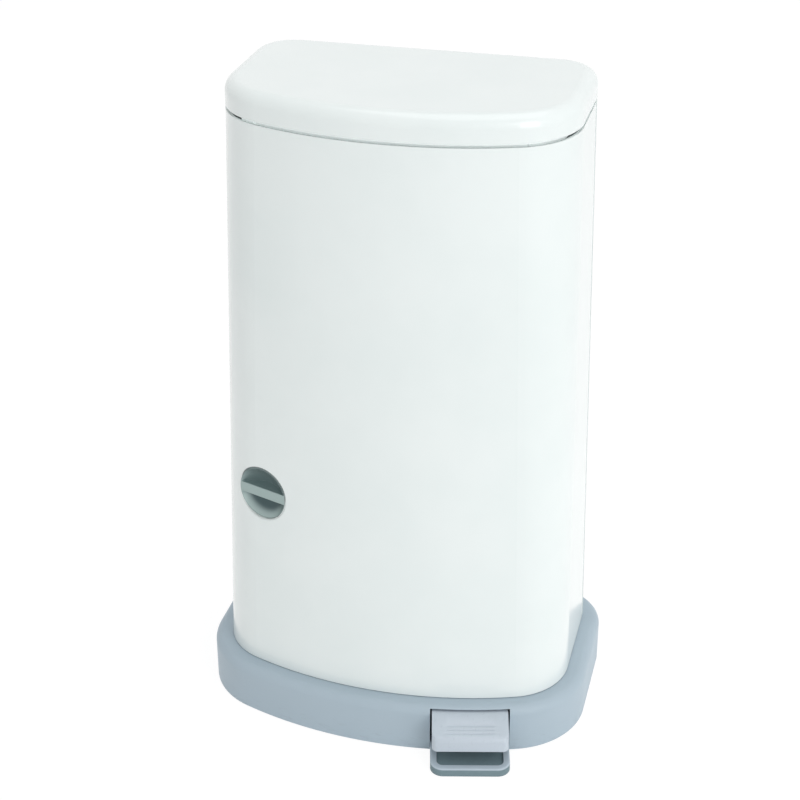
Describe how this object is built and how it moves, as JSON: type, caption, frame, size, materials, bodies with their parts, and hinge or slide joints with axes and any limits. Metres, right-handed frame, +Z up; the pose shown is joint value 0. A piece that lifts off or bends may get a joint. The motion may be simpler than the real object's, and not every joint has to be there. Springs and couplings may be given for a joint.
{
  "type": "pedal nappy bin",
  "caption": "Tall free-standing nappy bin with a bowed front door, rear-hinged lid, foot pedal and lift rod, trap flap over a liner cartridge, and a turn-knob latch.",
  "frame": {"origin": "on the floor, in the middle of the footprint's box", "axes": "+Z up, -Y to the bowed front, +X to the bin's right-hand side in the picture"},
  "size_m": [0.43, 0.3104, 0.711],
  "materials": {
    "white_shell": "gloss white",
    "white_inner": "satin white",
    "base_grey": "satin blue-grey",
    "pedal_grey": "satin blue-grey",
    "inner_grey": "matte grey",
    "cup_grey": "satin grey",
    "knob_grey": "satin grey",
    "rubber": "matte rubber",
    "steel": "bright steel",
    "plated_steel": "zinc plated",
    "cartridge_plastic": "pale plastic"
  },
  "bodies": {
    "frame_and_base": {"base_skirt": "base_grey", "base_plate": "base_grey", "rubber_feet": "rubber", "base_screws": "steel", "pedal_pin": "steel", "rod_guides": "inner_grey", "rod_cover": "inner_grey", "back_shell": "white_shell", "shell_screws": "steel", "top_deck": "white_inner", "deck_screws": "steel", "deck_posts": "plated_steel", "door_pins": "steel", "latch_keeper": "plated_steel", "lid_hinge_brackets": "plated_steel", "lid_pin": "steel", "trap_pin": "steel", "trap_spring": "steel", "trap_brackets": "plated_steel", "liner_cartridge": "cartridge_plastic", "cartridge_cover": "cartridge_plastic", "cartridge_cradle": "inner_grey", "liner_cutter": "inner_grey", "cutter_blade": "steel"},
    "pedal": {"pedal_pad": "pedal_grey", "pedal_lever": "inner_grey"},
    "lift_rod": {"lift_rod": "steel", "rod_cap": "inner_grey", "rod_collar": "inner_grey"},
    "lid": {"lid_cover": "white_shell", "lid_inner_panel": "white_inner", "lid_seal": "rubber", "lid_lever": "inner_grey"},
    "trap": {"trap_flap": "inner_grey", "trap_seal": "rubber"},
    "door": {"door_shell": "white_shell", "knob_cup": "cup_grey"},
    "knob": {"latch_knob": "knob_grey", "latch_shaft": "steel", "latch_cam": "steel", "latch_screw": "steel"}
  },
  "joints": [
    {"name": "lid_hinge", "type": "hinge", "parent": "frame_and_base", "child": "lid", "pos_m": [0, 0.13273, 0.689], "axis": [-1, 0, 0], "range_deg": [0, 75]},
    {"name": "pedal_hinge", "type": "hinge", "parent": "frame_and_base", "child": "pedal", "pos_m": [0.09359, -0.05761, 0.032], "axis": [0.972, 0.2351, 0], "range_deg": [0, 8.5]},
    {"name": "rod_slide", "type": "slide", "parent": "frame_and_base", "child": "lift_rod", "axis": [0, 0, 1], "range_m": [0, 0.02614]},
    {"name": "trap_hinge", "type": "hinge", "parent": "frame_and_base", "child": "trap", "pos_m": [0, 0.09458, 0.648], "axis": [1, 0, 0], "range_deg": [0, 75]},
    {"name": "door_hinge", "type": "hinge", "parent": "frame_and_base", "child": "door", "pos_m": [0.19, 0.09323, 0.056], "axis": [-0.024, 0, 0.9997], "range_deg": [0, 95]},
    {"name": "knob_turn", "type": "hinge", "parent": "door", "child": "knob", "pos_m": [-0.13461, -0.06858, 0.272], "axis": [-0.3309, -0.9437, 0], "range_deg": [0, 90]}
  ],
  "couplings": [
    {"joint": "pedal_hinge", "follows": "lid_hinge", "ratio": 0.11333},
    {"joint": "rod_slide", "follows": "lid_hinge", "m_per_rad": 0.019972},
    {"joint": "trap_hinge", "follows": "lid_hinge", "ratio": 1}
  ]
}
